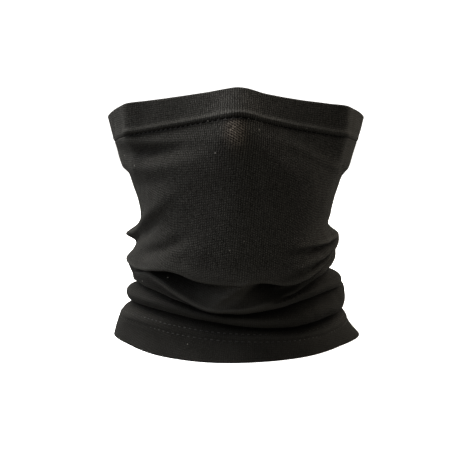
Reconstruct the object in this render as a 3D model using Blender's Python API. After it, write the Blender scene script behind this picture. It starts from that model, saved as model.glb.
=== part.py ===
"""Neck gaiter, in the shape it takes when worn over a face: a jersey tube with a double top band, a
turned-up hem, the threads of its seams, and a small care label that swings on the band's seam.

Metres, +Z up. The face looks along -Y and the gaiter stands on its hem, at z = 0.
Every wall is described by a level and an inset. The level is the height up the front of the cloth, and
the inset is how far a point lies inside the outer surface, towards the tube's axis.
"""

import math

import bpy
import numpy as np

# Driving dimensions
HEIGHT = 0.153  # hem edge to top edge, up the front
BAND_HEIGHT = 0.0175  # the double band, from its seam to the top edge
HEM_DEPTH = 0.019  # how far the lower edge is turned up inside
CLOTH = 0.001  # one ply of jersey
GAP = 0.0003  # between pieces, and between two plies
SEAM_ALLOWANCE = 0.006  # cloth past the stitching of a seam
NEEDLE_GAUGE = 0.0048  # between the hem's two rows of stitching
UPPER_ROW = HEM_DEPTH - 0.0008  # the hem's stitching, near its raw edge
LOWER_ROW = UPPER_ROW - NEEDLE_GAUGE
LOOPERS = (0.0010, 0.0050)  # the overlock's threads, above the band's seam
THREAD = 0.0006  # sewing thread, as a solid
COLUMNS = 60  # facets round the tube

BAND_SEAM = HEIGHT - BAND_HEIGHT
PLY_PITCH = CLOTH + GAP
SEAM_BULGE = 2 * CLOTH  # two plies of allowance behind the closing seams at the back

# Outer radius at each level, by azimuth from the front. Both sides are the same.
AZIMUTHS = (0, 12, 30, 58, 75, 92, 135, 180)
SECTIONS = {
    0.153: (0.0790, 0.0730, 0.0690, 0.0790, 0.0765, 0.0795, 0.0860, 0.0920),
    0.136: (0.0905, 0.0790, 0.0720, 0.0775, 0.0750, 0.0770, 0.0825, 0.0880),
    0.125: (0.0920, 0.0820, 0.0740, 0.0735, 0.0725, 0.0735, 0.0780, 0.0830),
    0.112: (0.0860, 0.0830, 0.0765, 0.0705, 0.0675, 0.0675, 0.0715, 0.0760),
    0.095: (0.0835, 0.0815, 0.0760, 0.0665, 0.0630, 0.0625, 0.0645, 0.0680),
    0.076: (0.0830, 0.0810, 0.0740, 0.0640, 0.0600, 0.0600, 0.0600, 0.0620),
    0.060: (0.0820, 0.0800, 0.0720, 0.0640, 0.0615, 0.0610, 0.0600, 0.0610),
    0.045: (0.0790, 0.0770, 0.0710, 0.0650, 0.0630, 0.0620, 0.0610, 0.0620),
    0.030: (0.0710, 0.0710, 0.0690, 0.0650, 0.0635, 0.0630, 0.0625, 0.0640),
    0.017: (0.0690, 0.0690, 0.0685, 0.0670, 0.0675, 0.0675, 0.0670, 0.0680),
    0.000: (0.0780, 0.0780, 0.0765, 0.0735, 0.0750, 0.0780, 0.0780, 0.0780),
}
# How far the top edge lies below its front, at the same azimuths
TOP_DROP = (0.0, 0.0020, 0.0046, 0.0084, 0.0110, 0.0143, 0.0190, 0.0210)

# Rolls of slack cloth round the neck: level at the front, level at the back, depth, half height
ROLLS = (
    (0.050, 0.060, 0.0045, 0.0060),
    (0.030, 0.038, 0.0045, 0.0055),
)

# Care label, folded in two and caught by its ends in the band's seam at the centre of the back
LABEL_WIDTH = 0.014
LABEL_LENGTH = 0.020
LABEL_THICKNESS = 0.0006
LABEL_LEAN = math.radians(31)  # it lies along the sloping back, 31 degrees from upright
LABEL_CLEARANCE = 0.0008

CLOTH_COLOUR = (0.012, 0.012, 0.011)
THREAD_COLOUR = (0.020, 0.020, 0.019)
LABEL_COLOUR = (0.55, 0.55, 0.53)


def material(name, colour, roughness):
    made = bpy.data.materials.new(name)
    made.use_nodes = True
    shader = made.node_tree.nodes["Principled BSDF"]
    shader.inputs["Base Color"].default_value = (*colour, 1.0)
    shader.inputs["Roughness"].default_value = roughness
    return made


def smooth_curve(keys, values, at):
    """A curve through the values at the keys that never overshoots them."""
    keys = np.asarray(keys, float)
    values = np.asarray(values, float)
    step = np.diff(keys)
    slope = np.diff(values) / step
    tangent = np.zeros_like(values)
    tangent[0] = slope[0]
    tangent[-1] = slope[-1]
    for i in range(1, len(keys) - 1):
        if slope[i - 1] * slope[i] > 0:
            tangent[i] = 2 * slope[i - 1] * slope[i] / (slope[i - 1] + slope[i])
    at = min(max(at, keys[0]), keys[-1])
    i = min(int(np.searchsorted(keys, at, side="right")) - 1, len(keys) - 2)
    t = (at - keys[i]) / step[i]
    return (
        (1 + 2 * t) * (1 - t) ** 2 * values[i]
        + t * (1 - t) ** 2 * step[i] * tangent[i]
        + t * t * (3 - 2 * t) * values[i + 1]
        + t * t * (t - 1) * step[i] * tangent[i + 1]
    )


def round_the_tube(values, azimuth):
    """The values at AZIMUTHS as a curve that runs level through the front and the back."""
    keys = (-AZIMUTHS[1], *AZIMUTHS, 360 - AZIMUTHS[-2])
    mirrored = (values[1], *values, values[-2])
    return smooth_curve(keys, mirrored, abs(azimuth))


def outer_radius(level, azimuth):
    levels = sorted(SECTIONS)
    by_azimuth = [
        smooth_curve(levels, [SECTIONS[height][i] for height in levels], level)
        for i in range(len(AZIMUTHS))
    ]
    radius = round_the_tube(by_azimuth, azimuth)
    to_back = 0.5 - 0.5 * math.cos(math.radians(azimuth))
    for front_level, back_level, depth, half_height in ROLLS:
        middle = front_level + (back_level - front_level) * to_back
        radius += depth * math.exp(-(((level - middle) / half_height) ** 2))
    return radius


def height_of(level, azimuth):
    return level - round_the_tube(TOP_DROP, azimuth) * (level / HEIGHT) ** 1.3


def wrapped(azimuth):
    """The azimuth as -180 to 180 degrees."""
    return (azimuth + 180) % 360 - 180


def column_azimuths():
    return [360 * i / COLUMNS for i in range(COLUMNS)]


def behind_a_seam(azimuth):
    """True at the two columns that the closing seam's allowance covers."""
    return 180 <= azimuth <= 180 + 360 / COLUMNS


def point(level, inset, azimuth):
    """A point of the cloth. The closing seam pushes every inner ply further in at the back."""
    if inset > CLOTH / 2 and behind_a_seam(azimuth % 360):
        inset += SEAM_BULGE
    radius = outer_radius(level, wrapped(azimuth)) - inset
    angle = math.radians(azimuth)
    return (
        radius * math.sin(angle),
        -radius * math.cos(angle),
        height_of(level, wrapped(azimuth)),
    )


def add_object(name, points, faces, finish):
    mesh = bpy.data.meshes.new(name)
    mesh.from_pydata(points, [], faces)
    mesh.materials.append(finish)
    mesh.shade_smooth()
    mesh.set_sharp_from_angle(angle=math.radians(40))
    made = bpy.data.objects.new(name, mesh)
    bpy.context.scene.collection.objects.link(made)
    return made


def ring(name, section, finish):
    """A solid ring: the section's (level, inset) corners, anticlockwise seen from azimuth 90, swept round."""
    corners = len(section)
    points = [
        point(level, inset, azimuth)
        for azimuth in column_azimuths()
        for level, inset in section
    ]
    faces = []
    for column in range(COLUMNS):
        here = column * corners
        there = (column + 1) % COLUMNS * corners
        for i in range(corners):
            j = (i + 1) % corners
            faces.append((here + i, there + i, there + j, here + j))
    return add_object(name, points, faces, finish)


def levels_between(low, high, step):
    count = max(1, round((high - low) / step))
    return [low + (high - low) * i / count for i in range(count + 1)]


def wall_levels():
    """Close together through the rolls, further apart above them."""
    rolls = levels_between(HEM_DEPTH, 0.071, 0.0034)
    return rolls + levels_between(0.071, BAND_SEAM - GAP - CLOTH, 0.0065)[1:]


def body_section():
    """Up the outer face, round the allowance, down the inner face and round the turned-up ply."""
    top = BAND_SEAM - GAP
    wall = wall_levels()
    hem = [CLOTH, 0.0072, LOWER_ROW, (LOWER_ROW + UPPER_ROW) / 2, UPPER_ROW, HEM_DEPTH]
    allowance = 2 * PLY_PITCH
    covered = [BAND_SEAM + rise for rise in (*LOOPERS, SEAM_ALLOWANCE)]
    outer = [(0.0, 0.0)] + [(level, 0.0) for level in hem[:-1] + wall] + [(top, 0.0)]
    flange = [(level, allowance) for level in [top] + covered]
    flange += [(level, allowance + CLOTH) for level in covered[::-1] + [top - CLOTH]]
    inner = [(level, CLOTH) for level in reversed(hem[:-1] + wall)]
    turn_up = [(level, PLY_PITCH) for level in hem]
    turn_up += [(level, PLY_PITCH + CLOTH) for level in reversed(hem)]
    return outer + flange + inner + turn_up + [(0.0, PLY_PITCH + CLOTH)]


def band_section():
    """A strip folded in two: the fold is the top edge, and its raw edges meet at the band's seam."""
    levels = [BAND_SEAM + rise for rise in (0.0, *LOOPERS, SEAM_ALLOWANCE)]
    levels += levels_between(levels[-1], HEIGHT - CLOTH, 0.0055)[1:]
    outer = [(level, 0.0) for level in levels] + [(HEIGHT, 0.0)]
    inner = [(HEIGHT, PLY_PITCH + CLOTH)]
    inner += [(level, PLY_PITCH + CLOTH) for level in reversed(levels)]
    slot = [(level, PLY_PITCH) for level in levels]
    slot += [(level, CLOTH) for level in reversed(levels)]
    return outer + inner + slot


def thread_section(level, inset, sides=5):
    """A thread's round section, centred on a level and an inset."""
    return [
        (
            level + THREAD / 2 * math.cos(2 * math.pi * i / sides),
            inset + THREAD / 2 * math.sin(2 * math.pi * i / sides),
        )
        for i in range(sides)
    ]


def seam_thread(name, levels, inset, azimuth, finish):
    """A thread that runs up the inside of the cloth through the levels, at one azimuth."""
    sides = 6
    points = []
    for level in levels:
        x, y, z = point(level, inset, azimuth)
        for i in range(sides):
            turn = 2 * math.pi * i / sides
            across = THREAD / 2 * math.sin(turn)
            outward = THREAD / 2 * math.cos(turn)
            points.append((x - across, y + outward, z))
    faces = []
    for k in range(len(levels) - 1):
        for i in range(sides):
            j = (i + 1) % sides
            below = k * sides
            above = below + sides
            faces.append((below + i, below + j, above + j, above + i))
    faces.append(tuple(reversed(range(sides))))
    top = (len(levels) - 1) * sides
    faces.append(tuple(range(top, top + sides)))
    return add_object(name, points, faces, finish)


def care_label(finish):
    """A flat plate whose top edge, its origin, is the line that it swings about."""
    x, y, z = point(
        BAND_SEAM - GAP - 2 * CLOTH, 2 * PLY_PITCH + CLOTH + LABEL_CLEARANCE, 180
    )
    half = LABEL_WIDTH / 2
    thick = LABEL_THICKNESS / 2
    corners = [
        (across, through, down)
        for down in (0.0, -LABEL_LENGTH)
        for through in (-thick, thick)
        for across in (-half, half)
    ]
    faces = [
        (0, 1, 3, 2),
        (4, 6, 7, 5),
        (0, 4, 5, 1),
        (2, 3, 7, 6),
        (0, 2, 6, 4),
        (1, 5, 7, 3),
    ]
    made = add_object("care_label", corners, faces, finish)
    made.location = (0.0, y, z)
    made.rotation_euler = (-LABEL_LEAN, 0.0, 0.0)
    return made


def build():
    for leftover in list(bpy.data.objects):
        bpy.data.objects.remove(leftover)
    jersey = material("jersey", CLOTH_COLOUR, 0.9)
    thread = material("thread", THREAD_COLOUR, 0.7)
    satin = material("label", LABEL_COLOUR, 0.5)

    ring("body_tube", body_section(), jersey)
    ring("top_band", band_section(), jersey)

    clear = GAP + THREAD / 2
    outside = -clear
    behind_allowance = 2 * PLY_PITCH + CLOTH + clear
    behind_hem = PLY_PITCH + CLOTH + clear
    rings = (
        ("band_seam_needle_thread", BAND_SEAM - 0.0008, outside),
        ("band_seam_lower_looper_thread", BAND_SEAM + LOOPERS[0], behind_allowance),
        ("band_seam_upper_looper_thread", BAND_SEAM + LOOPERS[1], behind_allowance),
        ("hem_upper_needle_thread", UPPER_ROW, outside),
        ("hem_lower_needle_thread", LOWER_ROW, outside),
        ("hem_looper_thread", (LOWER_ROW + UPPER_ROW) / 2, behind_hem),
    )
    for name, level, inset in rings:
        ring(name, thread_section(level, inset), thread)

    inside = CLOTH + clear
    inside_band = PLY_PITCH + CLOTH + clear
    below_label = BAND_SEAM - LABEL_LENGTH - 0.004
    seam = [level for level in wall_levels() if HEM_DEPTH < level < below_label]
    past_allowance = BAND_SEAM + SEAM_ALLOWANCE + 0.0010
    band = levels_between(past_allowance, HEIGHT - 0.0010, 0.0058)
    beside = 180 + 360 / COLUMNS
    seam_thread("back_seam_needle_thread", seam, inside, 180, thread)
    seam_thread("back_seam_looper_thread", seam, inside, beside, thread)
    seam_thread("band_closing_seam_thread", band, inside_band, 180, thread)
    care_label(satin)


build()
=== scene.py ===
"""The looks of a black jersey neck gaiter in its worn shape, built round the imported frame.

Lengths are in millimetres until a mesh is made, and azimuths are in degrees from the front (-Y), positive
towards +X. A section is an array of (radius, height) pairs, one row for each point up the cloth and one
column for each azimuth, so that a surface is swept by giving each column its own azimuth. Left and right
are as seen from the front.
"""

import math

import bpy
import numpy as np
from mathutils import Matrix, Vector, noise


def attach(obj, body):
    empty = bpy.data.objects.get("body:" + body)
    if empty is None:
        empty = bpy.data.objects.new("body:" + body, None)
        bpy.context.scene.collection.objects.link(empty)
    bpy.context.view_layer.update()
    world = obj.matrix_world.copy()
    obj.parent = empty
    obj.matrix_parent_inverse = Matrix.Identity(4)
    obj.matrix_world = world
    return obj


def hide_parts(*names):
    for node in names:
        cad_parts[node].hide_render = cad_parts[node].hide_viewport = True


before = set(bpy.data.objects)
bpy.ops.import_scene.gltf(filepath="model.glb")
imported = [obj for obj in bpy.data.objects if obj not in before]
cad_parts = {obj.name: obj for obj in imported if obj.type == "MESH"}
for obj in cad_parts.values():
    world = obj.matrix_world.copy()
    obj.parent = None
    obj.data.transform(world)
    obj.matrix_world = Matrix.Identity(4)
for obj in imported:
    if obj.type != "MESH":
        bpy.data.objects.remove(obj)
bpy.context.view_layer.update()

MM = 0.001
TURN = 2 * math.pi
HEIGHT = 153.0  # top edge at the front
BAND_SEAM = 135.5  # level of the seam between the body and the band
PLY = 0.9  # one ply of jersey
SLIT = 0.3  # between two plies
COLUMNS = 480  # of the sections
WALES = 392  # columns of knit stitches round the tube
COURSE = 1.22  # height of a knit stitch
BODY_LEAN = 0.11  # how far the body's courses slant, in courses for each wale
WALE_LEAN = 0.7  # a wale's width for each course's height, which keeps slanted stitches square
NEEDLE_GAUGE = 4.8  # between the hem's two rows
STITCH, SEAM_STITCH = 3.4, 3.7  # of the hem and the closing seams, and of the band seam
HEM_RADIUS, SEAM_RADIUS, SEWN_RADIUS = 71, 78, 72  # on average, of the hem, the band seam and all stitching
THREAD, HEM_THREAD = 0.23, 0.29  # radius of sewing thread, and of the hem's fuller stitches
DROOP = 0.22  # how far a sharp ridge sags over the groove under it, as a share of its depth
# the painted shade in a crease is darkest at this depth
DARK_HOLLOW = 3.4  # how deep a crease is where it is darkest
NOSE_PATCH = (-1.0, -91.0, 130.3)  # the middle of the patch that is stretched most
azimuth = -180 + 360 * np.arange(COLUMNS) / COLUMNS
OUT, UP = np.array([[1.0], [0.0]]), np.array([[0.0], [1.0]])

# --- Form of the head end: radii by level and by azimuth from the front, close to the frame's ---
HEAD_AZIMUTHS = (0, 12, 30, 48, 58, 66, 75, 92, 106, 135, 180)
HEAD = {
    153: (79, 73, 69, 72.4, 77.2, 76.4, 77, 80.3, 79.6, 84, 92),
    136: (90.5, 79, 72, 72.9, 75.7, 74.6, 74.4, 76, 76.6, 81, 88),
    125: (92, 82, 74, 71.6, 72.7, 71.8, 71.7, 72.8, 73.6, 77, 83),
    112: (86, 83, 76.5, 71.6, 70.3, 68.6, 67.6, 67.7, 68.7, 71.5, 76),
    95: (83.5, 81.5, 76, 70, 66.5, 64.2, 62.5, 61.5, 62.3, 64.5, 68),
    76: (83, 81, 74, 67.5, 64, 61.7, 60, 60, 60, 60, 62),
}
# How far the top edge falls away from its peak over the nose, by azimuth from -180 to 180
TOP_DROP = (
    (-180, 21), (-135, 19.5), (-92, 15.9), (-75, 11.8), (-58, 8.2), (-30, 4.4), (-12, 1.7), (-4, -0.2),
    (0, -0.9), (4, -0.2), (12, 2.6), (30, 5.9), (48, 8.2), (58, 9.6), (75, 12.6), (92, 16.3), (135, 19.5),
)
# How far the seam under the band rises above a line that follows the top edge's fall
SEAM_SWAY = (
    (-180, -1), (-92, -0.6), (-75, -1.6), (-58, -2.3), (-30, -0.9), (-10, 0.4), (0, 0.7), (10, 0.4),
    (30, -0.9), (58, -2.2), (75, -1.6), (92, -0.6), (135, -1),
)

# --- Form of the neck end: lines that run round the cloth from the hem up to the chin. Each is its heights
# and its radii, by azimuth. ---
NECK = {
    "hem_edge": (
        ((0, 0),),
        ((-180, 78), (-135, 78), (-95, 78), (-62, 73), (-30, 78.4), (-10, 81.3), (10, 79.5), (28, 77.1),
         (58, 73), (92, 79), (135, 78.5)),
    ),
    "hem_flare": (
        ((0, 8),),
        ((-180, 74), (-92, 75.6), (-62, 72), (-30, 74.8), (-8, 76), (12, 74.5), (30, 73.5), (60, 70.5),
         (92, 72.6), (135, 73.5)),
    ),
    "hem_row": (
        ((-180, 15.5), (-92, 17), (-52, 19.5), (-30, 17.7), (-8, 15.4), (12, 14), (30, 13), (60, 14),
         (92, 15)),
        ((-180, 71), (-92, 71.9), (-52, 71.5), (-10, 71.5), (12, 70.5), (33, 69.5), (60, 68.8), (90, 69.3),
         (135, 71)),
    ),
    "hem_crease": (
        ((-180, 19), (-135, 20), (-92, 22), (-56, 24.6), (-38, 23.7), (-23, 22), (-10, 20.2), (2, 17.9),
         (15, 16.3), (28, 15.6), (45, 17), (60, 17.6), (92, 17.6), (135, 18)),
        ((-180, 68), (-92, 66), (-56, 66.5), (-23, 67), (0, 66.3), (28, 64.8), (60, 64.2), (80, 65),
         (92, 67), (135, 68)),
    ),
    "low_roll": (
        ((-180, 26), (-135, 28), (-92, 30), (-75, 30.8), (-60, 30.8), (-44, 30), (-33, 28.5), (-24, 26.5),
         (-16, 24.8), (-6, 23), (2, 22.2), (14, 20.9), (23, 20.7), (35, 21.4), (47, 22.8), (66, 24.6),
         (88, 25.5), (135, 26)),
        ((-180, 71), (-92, 68.6), (-60, 70.3), (-30, 71.5), (0, 71.8), (30, 72), (60, 70.8), (88, 69.3),
         (135, 70.5)),
    ),
    "low_groove": (
        ((-180, 34), (-135, 35), (-92, 33.8), (-67, 37), (-54, 35.8), (-42, 34.6), (-33, 33), (-23, 30.6),
         (-16.5, 28.2), (-10, 26.6), (2, 26.4), (8, 27.1), (14, 27.9), (21, 29.1), (28, 30.6), (35, 31.9),
         (45, 33.2), (57, 33.7), (72, 33.6), (88, 32.6), (135, 33)),
        ((-180, 65), (-115, 61.5), (-92, 60.4), (-54, 64.4), (-30, 66.6), (0, 67.6), (30, 66.6), (57, 64.8),
         (74, 67), (88, 68.2), (135, 66)),
    ),
    "mid_roll": (
        ((-180, 40), (-135, 41), (-92, 40), (-62, 44), (-50, 46.4), (-41, 43.3), (-34.5, 40.3),
         (-29.6, 37.1), (-25, 34.7), (-21, 32.3), (-17, 30.5), (-13, 28.9), (-7, 28.2), (2, 29), (9, 30),
         (15, 31), (22, 32.3), (30, 34), (45, 36.5), (60, 38), (88, 37.6), (135, 39)),
        ((-180, 69), (-92, 65), (-62, 67.5), (-45, 70), (-30, 73.5), (-13, 76), (0, 77), (12, 76.3),
         (22, 74.5), (30, 72.5), (45, 69.5), (60, 68), (88, 66.8), (135, 68)),
    ),
    "pocket": (
        ((-180, 47), (-135, 46), (-92, 44.5), (-62, 46), (-50, 47.3), (-40, 49.5), (-30, 51), (-21, 48.5),
         (-14, 45.5), (-5, 41), (1, 38), (6, 41), (13, 44.5), (19, 44), (25, 45), (32, 46.8), (42, 49.6),
         (55, 53.6), (70, 56.4), (88, 57), (135, 52)),
        ((-180, 63), (-92, 67.2), (-62, 66.5), (-50, 65), (-40, 61), (-30, 60), (-21, 64.5), (-14, 71),
         (-5, 76.5), (1, 77.6), (6, 75), (13, 70), (19, 67.6), (25, 67), (32, 66.6), (42, 65), (55, 63),
         (70, 62.5), (88, 63), (135, 62.5)),
    ),
    "chin_lip": (
        ((-180, 54), (-135, 52), (-92, 49.6), (-75, 48), (-58, 47.2), (-48, 47.8), (-40, 49.2), (-30, 50.2),
         (-25, 49), (-21, 47.2), (-17, 45.8), (-10, 44.6), (-3, 44), (2, 43.6), (6, 44.6), (10, 45.2),
         (15, 44.2), (20, 43), (25, 43.2), (31, 44.9), (36, 47.1), (40, 49), (48, 52.6), (58, 56.6),
         (70, 58.8), (88, 59.5), (135, 57)),
        ((-180, 64), (-135, 65), (-92, 69), (-75, 69), (-58, 70.5), (-45, 74), (-30, 77.7), (-14, 79.7),
         (0, 80.8), (14, 79.7), (25, 78.4), (37, 76), (50, 71.5), (65, 67), (88, 64), (135, 63.5)),
    ),
    "chin": (
        ((-180, 62), (-92, 56), (-60, 57), (-30, 59), (0, 57), (30, 57), (50, 62.5), (92, 65.5), (135, 63)),
        ((-180, 61), (-92, 64), (-60, 68.8), (-45, 72.5), (-30, 77), (-12, 81), (0, 82.2), (12, 81),
         (30, 76.7), (45, 72), (60, 66.5), (92, 62.3), (135, 60.5)),
    ),
}
# The crease and the ridge that part the cloth between the middle roll and the chin, on the right
RIGHT_CREASE = (
    ((-180, 0), (12, 0), (20, -0.5), (29, -0.8), (35, -1.5), (44, -1), (60, -1.5), (88, -2.1), (118, -2.2),
     (150, 0)),
    ((-180, 0), (12, 0), (20, -0.8), (29, -1.2), (35, -1.8), (44, -2.5), (60, -5), (88, -6.2), (118, -6.5),
     (150, -2)),
)
RIGHT_RIDGE = (
    ((0, 0),),
    ((-180, 0), (12, 0), (20, 1), (29, 2.2), (35, 2.4), (44, 2.2), (60, 0.5), (88, -1), (135, 0)),
)

# Shorter ridges and grooves on top of that: (azimuth, height, depth) along each, then how far it
# reaches above and below its line
RIPPLES = (
    # left: the fold that juts out below the cheek, the hollow under it, and the one over the chin
    (((-115, 61, 0), (-92, 63.7, 9.2), (-78, 67, 5), (-64, 73.5, 2.8), (-48, 81, 2), (-39, 85, 1.5),
     (-30, 91, 0.8), (-22, 98, 0)), 5.2, 3.4),
    (((-110, 57, 0), (-92, 58.5, -0.4), (-71, 61.5, -1.3), (-56, 68.2, -1.8), (-44, 76, -1.3),
     (-36, 81.5, -0.8), (-26, 89, 0)), 5, 5),
    (((-58, 57, 0), (-48, 58.2, -1.6), (-40, 60, -2.7), (-31, 63.6, -2.8), (-26, 66.5, -1.9), (-16, 72, 0)),
     4.2, 3.6),
    # both sides: the step in the cloth where it leaves the cheeks
    (((-118, 106, 0), (-98, 106.5, 1), (-78, 107, 0.9), (-66, 108, 0)), 6, 1.6),
    (((-118, 101, 0), (-98, 102, -1.2), (-80, 102.5, -0.8), (-66, 103, 0)), 1.6, 6),
    (((66, 107, 0), (78, 106, 0.9), (98, 105.5, 1), (118, 105, 0)), 6, 1.6),
    (((66, 101, 0), (80, 101, -0.8), (98, 100.5, -1.2), (118, 100, 0)), 1.6, 6),
    # right: the flat-sided swelling under the ear
    (((60, 66.5, 0), (76, 66, 1.5), (92, 65.5, 2.4), (120, 64, 0)), 2.4, 6),
    (((64, 71.5, 0), (82, 71.5, -1.3), (98, 71.5, -1.6), (122, 71, 0)), 3.5, 1.8),
    # right: two folds that run down from the edge into the chin, each with a hollow under it
    (((20, 63.5, 0), (33, 64, 1), (48, 64.2, 1.8), (61, 65, 1.8), (74, 65.6, 0.8), (84, 66, 0)), 4.5, 1.3),
    (((18, 60.5, 0), (28, 61, -1.4), (38, 61.5, -3), (48, 62.1, -4.8), (61, 62.6, -5), (72, 63, -2.6),
     (82, 63, 0)), 1.3, 3.2),
    (((18, 49, 0), (26, 51, 1.2), (33, 53, 1.8), (39.5, 54.7, 2), (49.5, 57.2, 1.6), (58, 59.2, 0.8),
     (66, 61, 0)), 3, 1.2),
    (((17, 46, 0), (23, 47.8, -1.4), (34, 51.8, -4.2), (39, 53, -5.2), (46, 54.8, -4.6), (54, 56.8, -2.4),
     (61, 58, 0)), 1.3, 2.4),
    # right: the fan of creases between the chin and the middle roll, and one in the low roll
    (((8, 30.8, 0), (14, 32.6, 1), (22, 35.4, 2), (31, 39.2, 2.6), (42, 44.8, 2.4), (54, 47, 1.6),
     (66, 47.8, 0.8), (78, 48, 0)), 1.8, 1.2),
    (((12, 31.9, 0), (22, 34, -2), (34.8, 37.4, -3.4), (45, 39.7, -3.6), (56, 41.3, -2.8), (66, 42.5, 0)),
     1.3, 1.1),
    (((39, 42.2, 0), (45, 43, -2.4), (50, 43.8, -2.8), (57, 45, 0)), 1.1, 1.1),
    (((25, 25.2, 0), (32, 26.2, -1.4), (40, 27.4, -2.4), (51, 28.4, -2.2), (61, 29, 0)), 1.6, 1.4),
    # left: the sharp edge of the middle roll, and the drape that hangs from the chin at the centre
    (((-56, 46.5, 0), (-45, 44.8, 0.7), (-34.5, 40.4, 1), (-25, 34.9, 1), (-17, 30.8, 0.9), (-9, 28.6, 0.6),
     (2, 29, 0.3), (9, 29.8, 0)), 0.9, 0.9),
    (((-15, 26, 0), (-10, 30.5, 0.8), (-6, 36, 2.2), (-1, 40.2, 2.4), (3, 43.6, 1.2), (7, 46, 0)), 2.2,
     1.6),
    # soft waves below the band
    (((-90, 118, 0), (-64, 117, -2.4), (-42, 117.6, -2.5), (-26, 119, -1.2), (-10, 120.5, 0)), 3.2, 4.2),
    (((-80, 124, 0), (-62, 123.4, 0.8), (-42, 123.8, 1), (-26, 125, 0.5), (-12, 126, 0)), 2.4, 2.4),
    (((-90, 106, 0), (-62, 107, 1), (-42, 109, 1.2), (-26, 111, 0.6), (-10, 112, 0)), 5, 5),
    (((-84, 96, 0), (-64, 97, -1.2), (-46, 99, -1.3), (-32, 102, -0.6), (-20, 104, 0)), 4.5, 4.5),
    (((8, 127, 0), (22, 122, 0.7), (38, 115, 1), (54, 108, 0.7), (70, 102, 0)), 3.2, 3),
)


# --- Curves and sections ---
def hermite(start, end, leaving, arriving, t):
    """The cubic from start to end that leaves and arrives along the given tangents."""
    return (
        (1 + 2 * t) * (1 - t) ** 2 * start
        + t * (1 - t) ** 2 * leaving
        + t * t * (3 - 2 * t) * end
        + t * t * (t - 1) * arriving
    )


def smooth_curve(keys, values, at):
    """A curve through the values at the keys that never overshoots them."""
    keys, values, at = (np.asarray(x, float) for x in (keys, values, at))
    step = np.diff(keys)
    slope = np.diff(values) / step
    tangent = np.zeros_like(values)
    tangent[0], tangent[-1] = slope[0], slope[-1]
    before, after = 2 * step[1:] + step[:-1], step[1:] + 2 * step[:-1]
    with np.errstate(divide="ignore", invalid="ignore"):
        mean = (before + after) / (before / slope[:-1] + after / slope[1:])
    tangent[1:-1] = np.where(slope[:-1] * slope[1:] > 0, mean, 0)
    at = np.clip(at, keys[0], keys[-1])
    i = np.clip(np.searchsorted(keys, at, side="right") - 1, 0, len(keys) - 2)
    leaving, arriving = step[i] * tangent[i], step[i] * tangent[i + 1]
    return hermite(values[i], values[i + 1], leaving, arriving, (at - keys[i]) / step[i])


def bell(distance, width):
    """1 at no distance, fading smoothly to almost 0 at twice the width."""
    return np.exp(-((distance / width) ** 2))


def patch(start, full, fade, end):
    """1 between the azimuths full and fade, and 0 outside start and end."""
    return smooth_curve((-180, start, full, fade, end, 180), (0, 0, 1, 1, 0, 0), azimuth)


def around(pairs):
    """Values keyed by azimuth from -180 to 180, closed at the back."""
    if len(pairs) == 1:
        return np.full_like(azimuth, pairs[0][1])
    keys, values = zip(*pairs)
    keys = [key - 360 for key in keys[-2:]] + [*keys] + [key + 360 for key in keys[:2]]
    return smooth_curve(keys, values[-2:] + values + values[:2], azimuth)


def line_round(heights, radii):
    return np.stack([around(radii), around(heights)])


def head_point(level):
    """The cloth above the chin, at a level that keeps to the top edge and the seam as they dip."""
    levels = sorted(HEAD)
    radii = [float(smooth_curve(levels, values, level)) for values in zip(*(HEAD[key] for key in levels))]
    swayed_to = HEIGHT if level > BAND_SEAM else 100
    near_seam = min(max((level - swayed_to) / (BAND_SEAM - swayed_to), 0), 1)
    near_seam *= near_seam * (3 - 2 * near_seam)
    # the radii are the same on both sides, and level through the front and the back
    keys = (-HEAD_AZIMUTHS[1], *HEAD_AZIMUTHS, 360 - HEAD_AZIMUTHS[-2])
    radius = smooth_curve(keys, (radii[1], *radii, radii[-2]), np.abs(azimuth))
    drop = around(TOP_DROP) * (level / HEIGHT) ** 1.3
    return np.stack([radius, level - drop + around(SEAM_SWAY) * near_seam])


def between(low, high, radius_share, height_share):
    """A point near a roll's crest, which rounds its underside over the groove below it."""
    return low + (high - low) * np.stack(np.broadcast_arrays(radius_share, height_share, low[0])[:2])


def body_controls():
    """The lines that the body's section passes through: (name, points, rows up from the one below)."""
    line = {name: line_round(*table) for name, table in NECK.items()}
    slope = line["pocket"] - line["mid_roll"]
    sharp = smooth_curve((0, 66, 100, 180), (0.95, 0.95, 0.55, 0.5), np.abs(azimuth))
    line["low_underside"] = between(line["hem_crease"], line["low_roll"], 0.72, 0.30)
    line["mid_underside"] = between(line["low_groove"], line["mid_roll"], 0.74, 0.15)
    line["crease"] = line["mid_roll"] + 0.36 * slope + line_round(*RIGHT_CREASE)
    line["ridge"] = line["mid_roll"] + 0.70 * slope + line_round(*RIGHT_RIDGE)
    line["chin_underside"] = between(line["pocket"], line["chin_lip"], 0.72, sharp)
    controls = [(name, line[name], rows) for name, rows in (
        ("hem_edge", 0), ("hem_flare", 12), ("hem_row", 12), ("hem_crease", 9), ("low_underside", 7),
        ("low_roll", 9), ("low_groove", 11), ("mid_underside", 8), ("mid_roll", 8), ("crease", 9),
        ("ridge", 9), ("pocket", 9), ("chin_underside", 10), ("chin_lip", 8), ("chin", 12),
    )]
    levels = ((76.0, 16), (95.0, 18), (112.0, 18), (125.0, 14), (BAND_SEAM, 12))
    return controls + [(f"level_{level:.0f}", head_point(level), rows) for level, rows in levels]


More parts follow.
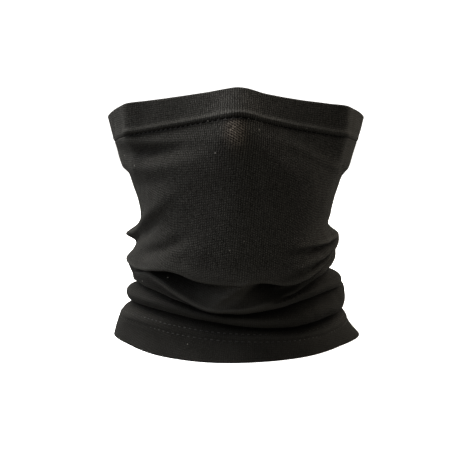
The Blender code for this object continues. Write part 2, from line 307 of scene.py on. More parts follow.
def loft(controls):
    """The section through the control points of every column, and the row that each of them is in."""
    points = np.stack([point for _, point, _ in controls])
    ahead = np.diff(points, axis=0)
    step = np.maximum(np.linalg.norm(ahead, axis=1, keepdims=True), SLIT) ** 0.6
    slope = ahead / step
    tangent = np.empty_like(points)
    tangent[0], tangent[-1] = slope[0], slope[-1]
    tangent[1:-1] = slope[:-1] + slope[1:] - (points[2:] - points[:-2]) / (step[:-1] + step[1:])
    rows, marks = [points[0]], {controls[0][0]: 0}
    for i, (name, _, count) in enumerate(controls[1:]):
        for t in np.arange(1, count + 1) / count:
            rows.append(hermite(points[i], points[i + 1], step[i] * tangent[i], step[i] * tangent[i + 1], t))
        marks[name] = len(rows) - 1
    return np.stack(rows), marks


def unit(vectors):
    return vectors / np.maximum(np.linalg.norm(vectors, axis=1, keepdims=True), 1e-9)


def outward(section):
    """Unit vectors off the cloth's outer face, in the plane of the section."""
    along = np.gradient(section, axis=0)
    return unit(np.stack([along[:, 1], -along[:, 0]], axis=1))


def rippled(section):
    """The section with the ripples added, and how deep it is in their creases, from 0 to 1."""
    made, hollow = section.copy(), np.zeros_like(section[:, 0])
    facing = np.clip(outward(section)[:, 0], 0, 1)
    for keys, above, below in RIPPLES:
        at, heights, depths = zip(*keys)
        rise = section[:, 1] - smooth_curve(at, heights, azimuth)
        bump = smooth_curve(at, depths, azimuth) * bell(rise, np.where(rise > 0, above, below)) * facing
        made[:, 0] += bump
        if below < 3:
            made[:, 1] -= DROOP * np.maximum(bump, 0)
        if min(above, below) < 2:
            hollow = np.maximum(hollow, np.clip(-bump / DARK_HOLLOW, 0, 1))
    return made, hollow


def softened(section, width):
    """Evens the section out round the neck, over a width in degrees, so that no key shows."""
    reach = int(3 * width * COLUMNS / 360)
    offsets = np.arange(-reach, reach + 1)
    weights = np.exp(-0.5 * (offsets * 360 / COLUMNS / width) ** 2)
    weights /= weights.sum()
    return sum(w * np.roll(section, k, axis=-1) for w, k in zip(weights, offsets))


def placed(where, radius, height):
    """Points or directions in space, from azimuths in degrees."""
    turn = np.radians(where)
    return np.stack([radius * np.sin(turn), -radius * np.cos(turn), height], axis=-1)


def swept(section):
    """The section's points in space: rows, columns, xyz."""
    return placed(azimuth, section[:, 0], section[:, 1])


def travelled(points):
    """How far each point of a section or a path is from its first one, along it."""
    steps = np.linalg.norm(np.diff(points, axis=0), axis=1)
    return np.concatenate([np.zeros_like(steps[:1]), np.cumsum(steps, axis=0)])


# --- Meshes ---
def quads(rows, columns, close_rows=True, close_columns=True):
    """Faces over a grid of points that may close on itself, and the row and column of their corners."""
    r, c = np.indices((rows - 1 + close_rows, columns - 1 + close_columns)).reshape(2, -1, 1)
    row, column = np.hstack([r, r, r + 1, r + 1]), np.hstack([c, c + 1, c + 1, c])
    return row % rows * columns + column % columns, row, column


def new_mesh(name, points, faces, uv=None, uv_name="knit"):
    """points (n, 3) in mm; faces (m, 4); uv (m, 4, 2)."""
    mesh = bpy.data.meshes.new(name)
    mesh.from_pydata((points * MM).tolist(), [], faces.tolist())
    if uv is not None:
        mesh.uv_layers.new(name=uv_name).uv.foreach_set("vector", np.asarray(uv, float).ravel())
    mesh.shade_smooth()
    made = bpy.data.objects.new(name, mesh)
    bpy.context.scene.collection.objects.link(made)
    return made


def ring_mesh(name, section, courses, lean):
    """A closed solid swept round the neck from a section whose last row joins its first; its knit leans."""
    rows, _, columns = section.shape
    faces, row, column = quads(rows, columns)
    u, v = column * WALES / columns, courses[row % rows, column % columns]
    uv = np.stack([u - WALE_LEAN * lean * v, v + lean * u], axis=2)
    return new_mesh(name, swept(section).reshape(-1, 3), faces, uv)


def thread_mesh(name, path, off, radius=THREAD, closed=True, sides=8):
    """A tube along the path. off points away from the cloth at each point of it."""
    count = len(path)
    along = np.roll(path, -1, axis=0) - np.roll(path, 1, axis=0) if closed else np.gradient(path, axis=0)
    along = unit(along)
    across = unit(np.cross(along, off))
    up = np.cross(across, along)
    turn = (TURN * np.arange(sides) / sides)[:, None]
    rim = path[:, None] + radius * (np.cos(turn) * up[:, None] + np.sin(turn) * across[:, None])
    faces, row, column = quads(count, sides, close_rows=closed)
    gone = travelled(path)
    uv = np.stack([np.append(gone, gone[-1] + 0.3)[row], column / sides], axis=2)
    if not closed:
        last = (count - 1) * sides
        caps = [(k, 0, k + 2, k + 1) for k in range(1, sides - 2, 2)]
        caps += [(last, last + k, last + k + 1, last + k + 2) for k in range(1, sides - 2, 2)]
        faces, uv = np.concatenate([faces, caps]), np.concatenate([uv, np.zeros((len(caps), 4, 2))])
    made = new_mesh(name, rim.reshape(-1, 3), faces, uv, "length")
    made.data.materials.append(sewing)
    return made


# --- Materials ---
YARN_DARK, YARN_FADED = (0.0080, 0.0076, 0.0066), (0.0118, 0.0113, 0.0100)
YARN_STRETCHED = (0.032, 0.0262, 0.0212)
FIBRE, FIBRE_STRETCHED = (0.065, 0.063, 0.0575), (0.200, 0.170, 0.140)
LINT = (0.20, 0.19, 0.17)
BETWEEN = (0.0014, 0.0013, 0.0011)  # the dark between the stitches


class Value:
    """A node's output. Arithmetic on it makes the nodes that work out the result."""

    def __init__(self, nodes, socket):
        self.nodes, self.socket = nodes, socket

    def __add__(self, other):
        return self.nodes.math("ADD", self, other)

    def __mul__(self, other):
        return self.nodes.math("MULTIPLY", self, other)

    def __sub__(self, other):
        return self.nodes.math("SUBTRACT", self, other)

    def __rsub__(self, other):
        return self.nodes.math("SUBTRACT", other, self)

    __radd__, __rmul__ = __add__, __mul__


class Nodes:
    """Short names for making and linking a material's nodes. Colours are (red, green, blue)."""

    def __init__(self, name):
        self.material = bpy.data.materials.new(name)
        self.material.use_nodes = True
        self.tree = self.material.node_tree
        self.place = self.node("TexCoord", {}, "Object")

    def feed(self, sockets, inputs):
        for key, value in inputs.items():
            if isinstance(value, Value):
                self.tree.links.new(value.socket, sockets[key])
            else:
                sockets[key].default_value = (*value, 1.0) if isinstance(value, tuple) else value

    def node(self, kind, inputs, output=0, **settings):
        made = self.tree.nodes.new("ShaderNode" + kind)
        for key, value in settings.items():
            setattr(made, key, value)
        self.feed(made.inputs, inputs)
        return Value(self, made.outputs[output])

    def math(self, operation, a, b=0.0):
        return self.node("Math", {0: a, 1: b}, operation=operation)

    def wave(self, turns):
        return self.math("COSINE", turns * TURN)

    def ramp(self, value, low, high, start=0.0, end=1.0):
        inputs = dict(enumerate((value, low, high, start, end)))
        return self.node("MapRange", inputs, interpolation_type="SMOOTHSTEP")

    def mix(self, share, a, b):
        return self.node("Mix", {0: share, 6: a, 7: b}, 2, data_type="RGBA")

    def noise(self, scale, detail=2.0, roughness=0.5):
        inputs = {"Vector": self.place, "Scale": scale, "Detail": detail, "Roughness": roughness}
        return self.node("TexNoise", inputs)

    def attribute(self, name):
        return self.node("Attribute", {}, "Fac", attribute_name=name)

    def uv(self, name):
        place = self.node("UVMap", {}, uv_map=name)
        return [self.node("SeparateXYZ", {0: place}, axis) for axis in (0, 1)]

    def speckle(self, x, y):
        """A random value for each whole step of x and y."""
        corner = self.node("CombineXYZ", {0: self.math("FLOOR", x), 1: self.math("FLOOR", y)})
        return self.node("TexWhiteNoise", {"Vector": corner}, "Value", noise_dimensions="2D")

    def bump(self, height, strength, distance):
        return self.node("Bump", {"Height": height, "Strength": strength, "Distance": distance})

    def surface(self, inputs):
        self.feed(self.tree.nodes["Principled BSDF"].inputs, inputs)
        return self.material


def jersey_material(name):
    """Weft knit: columns of V-shaped stitches, with fibre fuzz, faint fading and a few specks of lint."""
    n = Nodes(name)
    u, v = n.uv("knit")
    # the fold attribute is painted shade in creases, hollows and under the seam, and the attribute after it
    # is painted sheen and light
    stretched, folded, sheen_share, taut = (n.attribute(kind) for kind in ("stretch", "fold", "painted_sheen", "taut"))

    # wales run up the cloth and courses across it: every stitch is a V, and no two are as bright
    wobble = (n.noise(520, 2, 0.6) - 0.5) * 0.85
    across = u + wobble
    leg = v + wobble + n.math("ABSOLUTE", n.math("FRACT", across) - 0.5) * 0.6
    wale, course = n.wave(across - 0.5), n.wave(leg)
    wale_share, course_share = n.ramp(taut, 0.3, 1.0, 0.22, 0.34), n.ramp(taut, 0.3, 1.0, 0.18, 0.14)
    lattice = wale * wale_share + (course * course_share + wale * course * 0.26)
    # where the cloth is stretched its legs open into slanting lines
    opened = wale * 0.28 + n.wave(u * 0.5 + v * 0.95 + wobble) * 0.50
    share = n.ramp(stretched, 0.05, 0.85)
    lattice = lattice * (1.0 - share) + opened * share
    stitch = n.ramp(lattice, -0.6, 0.6)

    fading = n.ramp(n.noise(42, 3), 0.3, 0.7)
    yarn = n.mix(stretched, n.mix(fading, YARN_DARK, YARN_FADED), YARN_STRETCHED)
    bright = n.mix(stretched, FIBRE, FIBRE_STRETCHED)
    vivid, grain = n.speckle(across, leg), n.speckle(across * 3.0, leg * 3.0) - 0.5
    lively = n.math("MAXIMUM", lattice * n.ramp(vivid, 0, 1, -0.25, 2.1) * 0.44 + (0.29 + grain * 0.56), 0.0)
    yarn = n.mix(lively * n.ramp(taut, 0.0, 0.35, 0.25, 0.85), yarn, bright)
    # painted sheen and light: the yarn lightens towards the fibre's colour on crests, over the chin's lip and
    # on the side facets
    yarn = n.mix(sheen_share * 0.38, yarn, bright)
    shown = n.math("MAXIMUM", n.ramp(stitch, 0.0, 0.45), n.ramp(taut, 0.0, 0.5, 0.85, 0.25))
    # painted shade: the knit darkens towards the dark between the stitches where the fold attribute is high
    knit = n.mix(folded * 0.80, n.mix(shown, BETWEEN, yarn), BETWEEN)

    # a cell in twenty-two or so holds a round speck of lint
    cell = {"Vector": n.place, "Scale": 250}
    distance, tint = (n.node("TexVoronoi", cell, output) for output in ("Distance", "Color"))
    few = n.math("GREATER_THAN", n.node("SeparateColor", {0: tint}), 0.955)
    lint = few * n.ramp(distance, 0.07, 0.14, 1.0, 0.0) * 0.85

    fibre = n.noise(2600, 3, 0.7)
    return n.surface({
        "Base Color": n.mix(lint, knit, LINT),
        "Roughness": n.ramp(fibre, 0.2, 0.8, 0.80, 1.0),
        "Normal": n.bump(stitch * 0.8 + fibre * 0.2, 0.8, 0.00035),
        "Specular IOR Level": 0.03,
        "Sheen Weight": 0.020,
        "Sheen Roughness": 0.35,
    })


def thread_material(name):
    """Textured polyester thread: two plies twisted together, a little brighter than the cloth."""
    n = Nodes(name)
    along, round_it = n.uv("length")
    ply = n.math("ABSOLUTE", n.math("FRACT", along * 1.4 + round_it * 2.0) * 2.0 - 1.0)
    fibre = n.noise(5200, 2, 0.6)
    base = n.mix(n.ramp(ply, 0.1, 0.9), (0.019, 0.0183, 0.0167), (0.007, 0.0066, 0.0060))
    return n.surface({
        "Base Color": n.mix(fibre * 0.5, base, (0.034, 0.033, 0.030)),
        "Roughness": n.ramp(fibre, 0.2, 0.8, 0.42, 0.7),
        "Normal": n.bump(1.0 - ply, 0.6, 0.00012),
        "Specular IOR Level": 0.25,
    })


def satin_material(name):
    """Blank woven label tape: fine crosswise ribs, with a soft shine."""
    n = Nodes(name)
    warp, weft = (n.math("SINE", way * (TURN / rib)) for way, rib in zip(n.uv("length"), (0.35, 0.28)))
    weave = 0.5 + warp * weft * 0.5
    base = n.mix(n.noise(160, 3), (0.60, 0.59, 0.55), (0.48, 0.47, 0.44))
    return n.surface({
        "Base Color": n.mix(weave * 0.3, base, (0.34, 0.33, 0.31)),
        "Roughness": n.ramp(weave, 0.0, 1.0, 0.38, 0.58),
        "Normal": n.bump(weave, 0.35, 0.00006),
        "Sheen Weight": 0.15,
    })


def stage_material(name, glow):
    n = Nodes(name)
    return n.surface({
        "Base Color": n.mix(n.noise(6), (0.90, 0.90, 0.90), (0.92, 0.92, 0.92)),
        "Roughness": 0.9,
        "Specular IOR Level": 0.1,
        "Emission Color": (1.0, 1.0, 1.0),
        "Emission Strength": glow,
    })


jersey = jersey_material("black_jersey")
sewing = thread_material("black_thread")
satin = satin_material("label_satin")


# --- The cloth ---
def noise_on(section, sizes):
    """A smooth random value at each point: sizes are (millimetres across a wave, share) pairs."""
    points = swept(section).reshape(-1, 3).tolist()
    values = [sum(share * noise.noise(Vector(point) / size) for size, share in sizes) for point in points]
    return np.array(values).reshape(len(section), -1)


def seam_allowance(where):
    """How far the closing seam's folded allowance pushes the inner face in, by azimuth."""
    return 1.6 * smooth_curve((-1.2, 0.0, 5.2, 6.2), (0, 1, 1, 0), where % 360 - 180)


def body_outside():
    """The body's outer face, the rows of its lines, and how deep it is in its creases."""
    section, marks = loft(body_controls())
    section, hollow = (softened(made, 1.3) for made in rippled(section))
    row = np.arange(len(section))[:, None]
    fade = np.clip((row - marks["hem_row"]) / 20, 0.35, 1) * np.clip((len(section) - 1 - row) / 10, 0, 1)
    section = section + (0.55 * fade * noise_on(section, ((17, 0.6), (7, 0.4))))[:, None] * outward(section)
    # the two rows of stitching pull the hem in a little, and the closing seam the centre of the back
    length = travelled(section)
    upper = length[marks["hem_row"]]
    pulled = sum(0.4 * bell(length - row_at, 0.75) for row_at in (upper, upper - NEEDLE_GAUGE))
    pulled = pulled + 0.8 * bell(180 - np.abs(azimuth), 0.9)
    return section - pulled[:, None] * outward(section), marks, hollow


def knit_courses(section, marks):
    """The course number of each point, so that courses run along the hem and along the seam."""
    length = travelled(section)
    hem = length[marks["hem_row"]]
    wall = length[-1] - hem
    in_hem, in_wall = round(float(hem.mean()) / COURSE), round(float(wall.mean()) / COURSE)
    return np.where(length < hem, length / hem * in_hem, in_hem + (length - hem) / wall * in_wall)


def cloth_body(outside, marks):
    """Outer face up to the seam, allowance behind the band, inner face, and the turned-up hem."""
    off, courses, allowance = outward(outside), knit_courses(outside, marks), seam_allowance(azimuth)
    up_cloth = travelled(outside).mean(axis=1)
    hem_top = int(np.argmax(up_cloth > up_cloth[marks["hem_row"]] + 1.0))

    # the top edge turns in under the band and stands up behind it
    brim = head_point(BAND_SEAM)
    turned = [brim - a * OUT + b * UP for a, b in ((0.45, -0.95), (1.1, -0.42), (1.8, -0.12))]
    push = 0.6 * allowance * OUT
    rise = [head_point(BAND_SEAM + up) - 2.45 * OUT - push for up in (0.9, 2.4, 4.2, 5.5)]
    peak = head_point(BAND_SEAM + 6.0) - 2.9 * OUT - push
    edge = np.stack(turned + rise + [peak] + [point - PLY * OUT for point in rise[::-1]])

    inner = outside - (PLY + allowance) * off
    ply_out = outside - (PLY + SLIT + allowance) * off
    ply_in = ply_out - PLY * off
    raw = (ply_out[hem_top] + ply_in[hem_top]) / 2 + 0.35 * UP
    slit = (inner[2] + ply_out[2]) / 2 - 0.2 * UP
    row = np.arange(len(outside))
    wall, wall_low, ply_up = row[hem_top:-4][::-3], row[3:hem_top][::-2], row[3:hem_top:2]
    ply_down = row[: hem_top + 1][:0:-2]
    section = np.concatenate([
        outside, edge, inner[wall], inner[wall_low], slit[None], ply_out[ply_up], raw[None], ply_in[ply_down],
    ])
    section[:, 1] = np.maximum(section[:, 1], 0)
    behind_band = courses[-1] + 0.8 * np.arange(1, len(edge) + 1)[:, None]
    inside = courses[np.concatenate([wall, wall_low, [2], ply_up, [hem_top], ply_down])]
    return section, np.concatenate([courses, behind_band, inside])


def band_base():
    """The band's face as it would be without its ridge, from just under the seam, and its levels."""
    above = np.concatenate([np.linspace(-1.5, 5.1, 23), np.linspace(6.2, HEIGHT - BAND_SEAM - 0.6, 14)])
    base = softened(np.stack([head_point(level) for level in BAND_SEAM + above]), 1.0)
    waves = 0.4 * np.clip((above - 1) / 6, 0, 1)[:, None] * noise_on(base, ((15, 0.7), (6, 0.3)))
    return base + waves[:, None] * outward(base), above


def cloth_band(base, above):
    """The folded strip: a raised ridge over the seam, a flat outer ply, the fold, and the inner ply."""
    off = outward(base)
    along_ridge = 1 + 0.2 * np.array([noise.noise(Vector((a * 0.15, 3.0, 1.0))) for a in azimuth.tolist()])
    ridge = 1.20 * bell(above - 2.7, 1.5) - 1.35 * bell(above, 0.95)
    low = int(np.argmax(above > 0.25))
    outer = (base + (ridge[:, None] * (along_ridge * seam_share))[:, None] * off)[low:]
    base, off = base[low:], off[low:]
    fold_radius = PLY + SLIT / 2
    centre = outer[-1] - fold_radius * off[-1]
    up = np.stack([-off[-1][1], off[-1][0]])
    turns = np.linspace(0, math.pi, 9)[1:]
    fold = np.stack([centre + fold_radius * (math.cos(a) * off[-1] + math.sin(a) * up) for a in turns])
    # the closing seam's allowance dies away into the fold
    below_fold = len(base) - 1 - np.arange(len(base))[:, None]
    push = 0.5 * seam_allowance(azimuth) * np.clip(below_fold / 3, 0, 1)
    inner = (base - (2 * PLY + SLIT + push)[:, None] * off)[::-1][1:]
    inner_face = (base - (PLY + SLIT) * off)[1:-2:2]
    outer_face = (base - PLY * off)[1:-2:2][::-1]
    section = np.concatenate([outer, fold, inner, inner_face, outer_face])
    return section, travelled(section) / COURSE, above[low:]


def evened(values, times):
    """The values with each row blended into the rows beside it, several times over."""
    for _ in range(times):
        values[1:-1] = (values[:-2] + 2 * values[1:-1] + values[2:]) / 4
    return values


def fold_depth(section, reach=46):
    """How far each point is shut in between the rolls above and below it, from 0 to 1."""
    over, under = np.zeros((2, *section[:, 0].shape))
    for rows in range(3, reach, 2):
        gap = section[rows:] - section[:-rows]
        jut = gap[:, 0] / np.maximum(np.linalg.norm(gap, axis=1), 0.5)
        over[:-rows] = np.maximum(over[:-rows], jut)
        under[rows:] = np.maximum(under[rows:], -jut)
    depth = np.clip(1.15 * np.clip(over, 0, 1) + 0.75 * np.clip(under, 0, 1) - 0.55, 0, 1)
    return np.clip(1.05 * evened(depth, 4), 0, 0.9)


def crest(section):
    """How sharply the cloth turns outward along the section, from 0 to 1: where painted sheen lightens it."""
    off = outward(section)
    turning = np.gradient(off, axis=0) / np.maximum(np.gradient(travelled(section), axis=0), 0.05)[:, None]
    along = np.stack([-off[:, 1], off[:, 0]], axis=1)
    return np.clip(evened((turning * along).sum(axis=1), 6) / 0.22 - 0.3, 0, 1)


def body_looks(outside, marks, hollow):
    """How much painted shade the body has in its creases, and how much painted sheen and light, each from 0
    to 1.
    """
    row = np.arange(len(outside))[:, None]
    length, curl = travelled(outside), crest(outside)
    # painted shade where the cloth is shut in between rolls, in the ripples' creases and just under the
    # band's seam
    painted_shade = np.maximum(fold_depth(outside) * (1 - 0.75 * curl), 0.8 * hollow)
    painted_shade = np.maximum(painted_shade, 0.9 * np.clip(1.9 - (length[-1] - length), 0, 1) * seam_share * seam_shade)
    rolls = (row < marks["pocket"]) & (row > marks["hem_crease"])
    # painted sheen along the crests, weaker on the low roll and on the right of the rolls
    painted_light = curl * np.where(row < marks["low_groove"], 0.45, 1.0)
    painted_light *= np.where(rolls, smooth_curve((-180, 0, 20, 180), (1, 1, 0.5, 0.5), azimuth), 1.0)
    # painted light on the cloth just over the chin's lip
    over_lip = length - length[marks["chin_lip"]] - 4.0
    painted_light = np.maximum(painted_light, 0.44 * bell(over_lip, 4.0) * patch(-60, -32, 30, 48))
    # painted light on the side facets of the upper body
    painted_light = np.maximum(painted_light, cheek_light * np.clip((outside[:, 1] - 100) / 12, 0, 1))
    # painted shade on the cloth that hangs back under a roll, most on the left under the middle roll
    for low, high, shaded_azimuths, depth in (
        ("low_groove", "mid_roll", (-82, -64, -22, -4), 0.50),
        ("hem_crease", "low_groove", (-88, -66, -14, 6), 0.36),
        ("low_groove", "pocket", (18, 34, 60, 84), 0.40),
    ):
        share = np.clip((row - marks[low]) / max(marks[high] - marks[low], 1), 0, 1)
        under = np.clip(4 * share, 0, 1) * np.clip(3.2 * (1 - share), 0, 1)
        painted_shade = np.maximum(painted_shade, depth * under * patch(*shaded_azimuths))
    # the drape in the middle of the chin's hollow catches the light, painted as a highlight with less painted
    # shade: it runs up to the right
    up_drape = (row - marks["mid_roll"]) / (marks["chin_underside"] - marks["mid_roll"])
    from_ridge = azimuth + 9 - 15 * up_drape
    drape = bell(from_ridge, np.where(from_ridge < 0, 12, 4)) * ((up_drape > 0) & (up_drape < 1))
    return painted_shade * (1 - 0.85 * drape), np.maximum(painted_light, 0.55 * drape)


def taut(points):
    """How far the knit is stretched open: most over the nose, least in the rolls round the neck."""
    turn = np.degrees(np.arctan2(points[..., 0], -points[..., 1]))
    over_nose = bell(turn, 24) * np.clip((points[..., 2] - 112) / 14, 0, 1)
    return np.clip(0.38 * np.clip((points[..., 2] - 34) / 20, 0, 1) + 0.62 * over_nose, 0, 1)


def cloth_piece(name, section, courses, lean, stretch, painted_shade, painted_sheen, ridge=0.0):
    """The piece, with the attributes that its material reads; painted shade, painted sheen and light, and
    ridge cover its outer rows.
    """
    piece = ring_mesh(name, section, courses, lean)
    piece.data.materials.append(jersey)
    points = swept(section)
    from_nose = np.linalg.norm((points - NOSE_PATCH) / (0.85, 1.0, 1.25), axis=2)
    stretched, strained = stretch * np.exp(-((from_nose / 6.4) ** 2.2)), taut(points)
    folded, sheen_share = np.zeros((2, *strained.shape))
    outer = slice(len(painted_sheen))
    strained[outer], folded[outer], sheen_share[outer] = np.maximum(strained[outer], ridge), painted_shade, painted_sheen
    for kind, values in (("stretch", stretched), ("taut", strained), ("fold", folded), ("painted_sheen", sheen_share)):
        piece.data.attributes.new(kind, "FLOAT", "POINT").data.foreach_set("value", values.ravel())
    return piece


# the seam's ridge stands out across the face and lies flat past the cheeks, and the painted shade under it is
# lighter on its right half
seam_share = smooth_curve((0, 57, 67, 180), (1, 1, 0.2, 0.2), np.abs(azimuth))
seam_shade = smooth_curve((-180, -6, 14, 180), (0.92, 0.92, 0.45, 0.45), azimuth)
# painted light on the side facets of the band and the upper body, stronger on the right
cheek_light = 0.42 * patch(-122, -100, -64, -57) + 0.68 * patch(57, 64, 100, 122)
outside, marks, hollow = body_outside()
base, above = band_base()
looks = body_looks(outside, marks, hollow)
body = cloth_piece("jersey_body", *cloth_body(outside, marks), BODY_LEAN, 1.0, *looks)
band_section, band_courses, band_above = cloth_band(base, above)
# painted shade in the groove under the seam's ridge
band_painted_shade = 0.85 * np.clip((2.2 - band_above) / 1.4, 0, 1)[:, None] * seam_share * seam_shade
# painted highlight along the top of the seam's ridge, and painted light on the side facets
band_painted_sheen = np.maximum(0.46 * bell(band_above - 2.9, 1.3)[:, None] * seam_share, cheek_light)
band_ridge = 0.8 * bell(band_above - 2.6, 1.6)[:, None] * seam_share
band = cloth_piece("folded_band", band_section, band_courses, 0.0, 0.0, band_painted_shade, band_painted_sheen, band_ridge)


# --- Stitching ---
class Face:
    """The outer face of a piece of cloth, and where the points of a seam are on it."""

    def __init__(self, section):
        self.section, self.off, self.length = section, outward(section), travelled(section)

    def rows(self, mark, up):
        """The row at each column, with its fraction, that is a distance up the cloth from a row."""
        count = np.arange(len(self.section))
        return np.array([np.interp(length[mark] + up, length, count) for length in self.length.T])

    def points(self, where, rows, lift):
        """The points at those azimuths and rows, lifted off the cloth, and the direction away from it."""
        column = (where + 180) / 360 * COLUMNS
        c, r = np.floor(column).astype(int), np.clip(np.floor(rows).astype(int), 0, len(self.section) - 2)
        across, along = (column - c)[:, None], (rows - r)[:, None]
        here, on = c % COLUMNS, (c + 1) % COLUMNS

        def sample(values):
            below, over = (values[k, :, here] * (1 - across) + values[k, :, on] * across for k in (r, r + 1))
            return below * (1 - along) + over * along

        (radius, height), (out, rise) = sample(self.section).T, sample(self.off).T
        return placed(where, radius + lift * out, height + lift * rise), placed(where, out, rise)


def sewn_round(name, face, row, count, pattern, pushed=0, shown=None, radius=THREAD):
    """Stitches all round: pattern gives (forward, up, lift) in mm for the points of one stitch.

    pushed is the share of the closing seam's allowance under them. Outside the azimuths of shown they sink
    into the gathered cloth.
    """
    forward, up, lift = np.array(pattern).T
    share = np.arange(len(pattern)) / len(pattern)
    where = -180 + 360 * (np.arange(count)[:, None] + share) / count + np.degrees(forward / SEWN_RADIUS)
    rows = [np.interp(w, azimuth, face.rows(row, u), period=360) for w, u in zip(where.T, up)]
    where, rows = where.ravel(), np.stack(rows, axis=1).ravel()
    lifts = np.tile(lift, count) - pushed * seam_allowance(where)
    if shown:
        uneven = np.array([noise.noise(Vector((0.37 * k, 5.0, up[0]))) for k in range(count)]).repeat(len(up))
        outside_by = np.maximum(shown[0] - where, where - shown[1])
        lifts = lifts - 0.38 * np.clip(outside_by / 16, 0, 1) - 0.14 * uneven
    return thread_mesh(name, *face.points(where, rows, lifts), radius)


def sewn_up(name, face, first, last, pattern):
    """Stitches up the centre back: pattern gives (along, across, lift) in mm for the points of one."""
    along, across, lift = np.array(pattern).T
    column = face.length[:, 0]
    count = int((column[last] - column[first]) / STITCH)
    share = np.arange(len(pattern)) / len(pattern)
    gone = column[first] + ((np.arange(count)[:, None] + share) * STITCH + along).ravel()
    rows = np.interp(gone, column, np.arange(len(column)))
    radius = np.interp(rows, np.arange(len(column)), face.section[:, 0, 0])
    where = -180 + np.degrees(np.tile(across, count) / radius)
    lifts = np.tile(lift, count) - seam_allowance(where)
    return thread_mesh(name, *face.points(where, rows, lifts), closed=False)


def cycle(steps, pattern):
    """One stitch's points, from a pattern of how far through it they are, from 0 to 2 pi."""
    return [pattern(t) for t in np.arange(steps) * TURN / steps]


needle = cycle(8, lambda t: (0, 0, -0.30 - 0.52 * math.cos(t)))
lower_needle = [(forward, up - NEEDLE_GAUGE, lift) for forward, up, lift in needle]
hem_inside = -(2 * PLY + SLIT + THREAD - 0.05)
hem_loops = cycle(16, lambda t: (0.9 * math.sin(2 * t), -NEEDLE_GAUGE / 2 + 2.6 * math.cos(t), hem_inside))
ladder = [(0, up, lift) for up, lift in (  # over the seam's edge and back through both plies
    (-0.80, -1.05), (-0.66, -0.55), (-0.40, -0.32), (-0.08, -0.20), (0.24, -0.18),
    (0.54, -0.30), (0.74, -0.65), (0.50, -1.35), (-0.05, -1.65), (-0.55, -1.55),
)]
lower_loops = cycle(12, lambda t: (0.7 * math.sin(2 * t), 3.3 + 2.3 * math.cos(t), -3.5))
upper_loops = cycle(12, lambda t: (0, 5.55 + 1.0 * math.sin(t), -2.95 + 0.85 * math.cos(t)))
back_needle = cycle(8, lambda t: (0, 0.35, -PLY - 0.1 + 0.25 * math.cos(t)))
back_loops = cycle(12, lambda t: (0.6 * math.sin(2 * t), 3.0 + 2.2 * math.cos(t), -PLY - THREAD + 0.03))
band_needle = [(along, across, lift - PLY - SLIT) for along, across, lift in back_needle]

body_face, band_face = Face(outside), Face(base)
at_seam = int(np.argmax(above >= -0.01))
seam_stitches = round(TURN * SEAM_RADIUS / SEAM_STITCH)
hem = (body_face, marks["hem_row"], round(TURN * HEM_RADIUS / STITCH))
seam = (band_face, at_seam, seam_stitches)
up_back = (body_face, marks["hem_crease"], marks["level_112"])
up_band = (band_face, at_seam + 22, len(base) - 4)
threads = {
    "hem_upper_needle_thread": sewn_round("hem_upper_stitches", *hem, needle, 0, (-36, 0), HEM_THREAD),
    "hem_lower_needle_thread": sewn_round("hem_lower_stitches", *hem, lower_needle, 0, (-30, 22), HEM_THREAD),
    "hem_looper_thread": sewn_round("hem_looper_stitches", *hem, hem_loops, 1.0),
    "band_seam_needle_thread": sewn_round("band_seam_ladder_stitches", *seam, ladder, 0, (-54, -6)),
    "band_seam_lower_looper_thread": sewn_round("band_seam_lower_loops", *seam, lower_loops, 0.6),
    "band_seam_upper_looper_thread": sewn_round(
        "band_seam_upper_loops", band_face, at_seam, 2 * seam_stitches, upper_loops, 0.6
    ),
    "back_seam_needle_thread": sewn_up("back_seam_stitches", *up_back, back_needle),
    "back_seam_looper_thread": sewn_up("back_seam_loops", *up_back, back_loops),
    "band_closing_seam_thread": sewn_up("band_closing_stitches", *up_band, band_needle),
}

# --- Care label: a blank satin tape folded double, in the plane of (y, z) ---
LABEL_HINGE = np.array([80.572, 115.662])
LABEL_WIDTH, LABEL_DROP, LABEL_THICKNESS, ROOT_THICKNESS = 13.6, 19.05, 0.22, 0.3
LABEL_LEAN = math.radians(31)  # from upright, as it hangs
BOW_REACH = 6.0  # how far from the hinge the label is bowed across its width in full


def label_strip(name, line, thickness, bow):
    """A tape along a line, as a closed solid that bows across its width below the hinge."""
    line = np.array(line, float)
    bow = bow * np.clip(np.linalg.norm(line - LABEL_HINGE, axis=1) / BOW_REACH, 0, 1)
    side = outward(line)
    across = np.linspace(-0.5, 0.5, 13)
    front, back = line - thickness / 2 * side, line + thickness / 2 * side
    ring = []
    for edge, way in ((front, across), (back, across[::-1])):
        for a in way:
            bowed = edge[:, 0] + bow * (4 * a * a - 0.3) * 0.86
            ring.append(np.stack([np.full(len(line), LABEL_WIDTH * a), bowed, edge[:, 1]], axis=1))
    ring = np.stack(ring)
    rows, count = len(ring), len(line)
    pair = np.arange(len(across) - 1)
    end = np.stack([pair, pair + 1, rows - 2 - pair, rows - 1 - pair], axis=1) * count
    faces = quads(rows, count, close_columns=False)[0][:, [0, 3, 2, 1]]
    faces = np.vstack([faces, end[:, ::-1], end + count - 1])
    flat = np.stack([ring[:, :, 0], np.broadcast_to(travelled(line), (rows, count))], axis=2).reshape(-1, 2)
    made = new_mesh(name, ring.reshape(-1, 3), faces, flat[faces], "length")
    made.data.materials.append(satin)
    return made


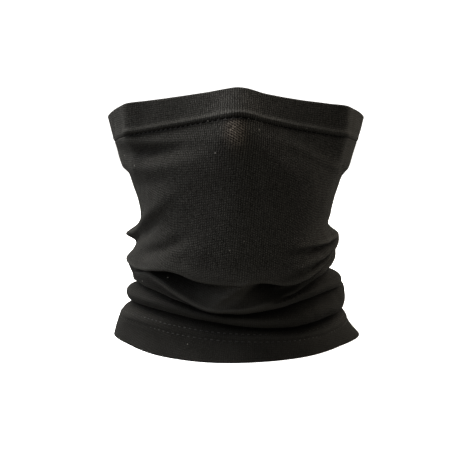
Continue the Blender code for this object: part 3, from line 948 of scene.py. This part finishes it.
def label_line():
    """Down one ply from the hinge, round the fold and back up: the plies meet at the hinge."""
    down = np.array([-math.sin(LABEL_LEAN), -math.cos(LABEL_LEAN)])
    away = np.array([-down[1], down[0]])
    share = np.linspace(0, 1, 15)
    ply = [(0.10 + LABEL_DROP * t, 0.117 + 0.12 * math.sin(math.pi * t) + 0.08 * t) for t in share]
    low_end, apart = ply[-1]
    fold = [(low_end + 0.32 * math.sin(t), apart * math.cos(t)) for t in np.linspace(0, math.pi, 9)[1:-1]]
    points = ply + fold + [(a, -b) for a, b in ply[::-1]]
    return [LABEL_HINGE + a * down + b * away for a, b in points]


label = label_strip("folded_label", label_line(), LABEL_THICKNESS, 0.5)
# the root comes out of the seam's allowance and stops just short of the hinge
root_ends = np.array([(85.9, 119.2), (80.946, 115.947), (-1.5, -3.4), (-5.5, -4.2)])
root_line = hermite(*root_ends, np.linspace(0, 1, 9)[:, None])
label_root = label_strip("label_root", root_line, ROOT_THICKNESS, 0.0)


# --- Stage, light and camera ---
def make_stage():
    """A pale floor, and a white backdrop all round that only the camera sees."""
    reach, sides = 5000.0, 64
    turn = np.linspace(0, TURN, sides + 1)[:-1]
    rim = np.stack([reach * np.cos(turn), reach * np.sin(turn), np.zeros(sides)], axis=1)
    k = np.arange(0, sides, 2)
    disc = np.stack([np.zeros(len(k), int), 1 + k, 1 + (k + 1) % sides, 1 + (k + 2) % sides], axis=1)
    floor = new_mesh("floor", np.concatenate([[(0.0, 0.0, 0.0)], rim]), disc)
    wall = np.concatenate([rim + (0, 0, height) for height in (-10.0, 2500.0, 5000.0)])
    backdrop = new_mesh("backdrop", wall, quads(3, sides, close_rows=False)[0][:, [0, 3, 2, 1]])
    for piece, material in (
        (floor, stage_material("pale_floor", 0.75)), (backdrop, stage_material("white_backdrop", 1.0)),
    ):
        piece.data.materials.append(material)
        piece.visible_diffuse = piece.visible_glossy = False
    backdrop.visible_shadow = False


LIGHTS = (  # name, place and size in metres, watts, tint
    ("left_softbox", (-1.25, -0.45, 0.70), (0.8, 1.0), 11.2, (0.88, 0.95, 1.08)),
    ("left_rim_softbox", (-0.90, 0.80, 0.70), (0.6, 0.8), 14.2, (1.0, 0.99, 0.97)),
    ("right_rim_softbox", (0.90, 0.70, 0.80), (0.6, 0.8), 15.5, (1.0, 0.90, 0.76)),
    ("top_softbox", (-0.35, 0.12, 1.4), (0.9, 0.9), 39, (1.0, 0.98, 0.95)),
)
LIT_POINT = Vector((0, 0, 0.08))  # metres
CAMERA_DISTANCE, CAMERA_RAISED = 0.650, math.radians(6)
CAMERA_AIM = Vector((-0.0067, 0.0, 0.0695))


def light_and_camera():
    scene = bpy.context.scene
    scene.world = bpy.data.worlds.new("studio")
    scene.world.use_nodes = True
    sky = scene.world.node_tree.nodes["Background"].inputs
    sky["Color"].default_value, sky["Strength"].default_value = (1.0, 0.95, 0.86, 1.0), 0.42
    scene.view_settings.view_transform = "Standard"
    for name, place, (width, height), power, tint in LIGHTS:
        lamp = bpy.data.lights.new(name, "AREA")
        lamp.shape, lamp.size, lamp.size_y = "RECTANGLE", width, height
        lamp.energy, lamp.color = power, tint
        made = bpy.data.objects.new(name, lamp)
        made.location = place
        made.rotation_euler = (LIT_POINT - Vector(place)).to_track_quat("-Z", "Y").to_euler()
        scene.collection.objects.link(made)

    lens = bpy.data.cameras.new("camera")
    lens.sensor_width, lens.lens, lens.clip_end = 36.0, 82.3, 100.0
    camera = bpy.data.objects.new("camera", lens)
    towards = Vector((0, -math.cos(CAMERA_RAISED), math.sin(CAMERA_RAISED)))
    camera.location = CAMERA_AIM + CAMERA_DISTANCE * towards
    camera.rotation_euler = (math.pi / 2 - CAMERA_RAISED, 0.0, 0.0)
    scene.collection.objects.link(camera)
    scene.camera = camera


make_stage()
light_and_camera()

# --- What each piece rides on and stands for ---
for node, piece in {"body_tube": body, "top_band": band, **threads}.items():
    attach(piece, "gaiter")
    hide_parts(node)
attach(label_root, "gaiter")
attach(label, "label")
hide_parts("care_label")

band_pieces = [thread for node, thread in threads.items() if node.startswith("band_")] + [label_root]
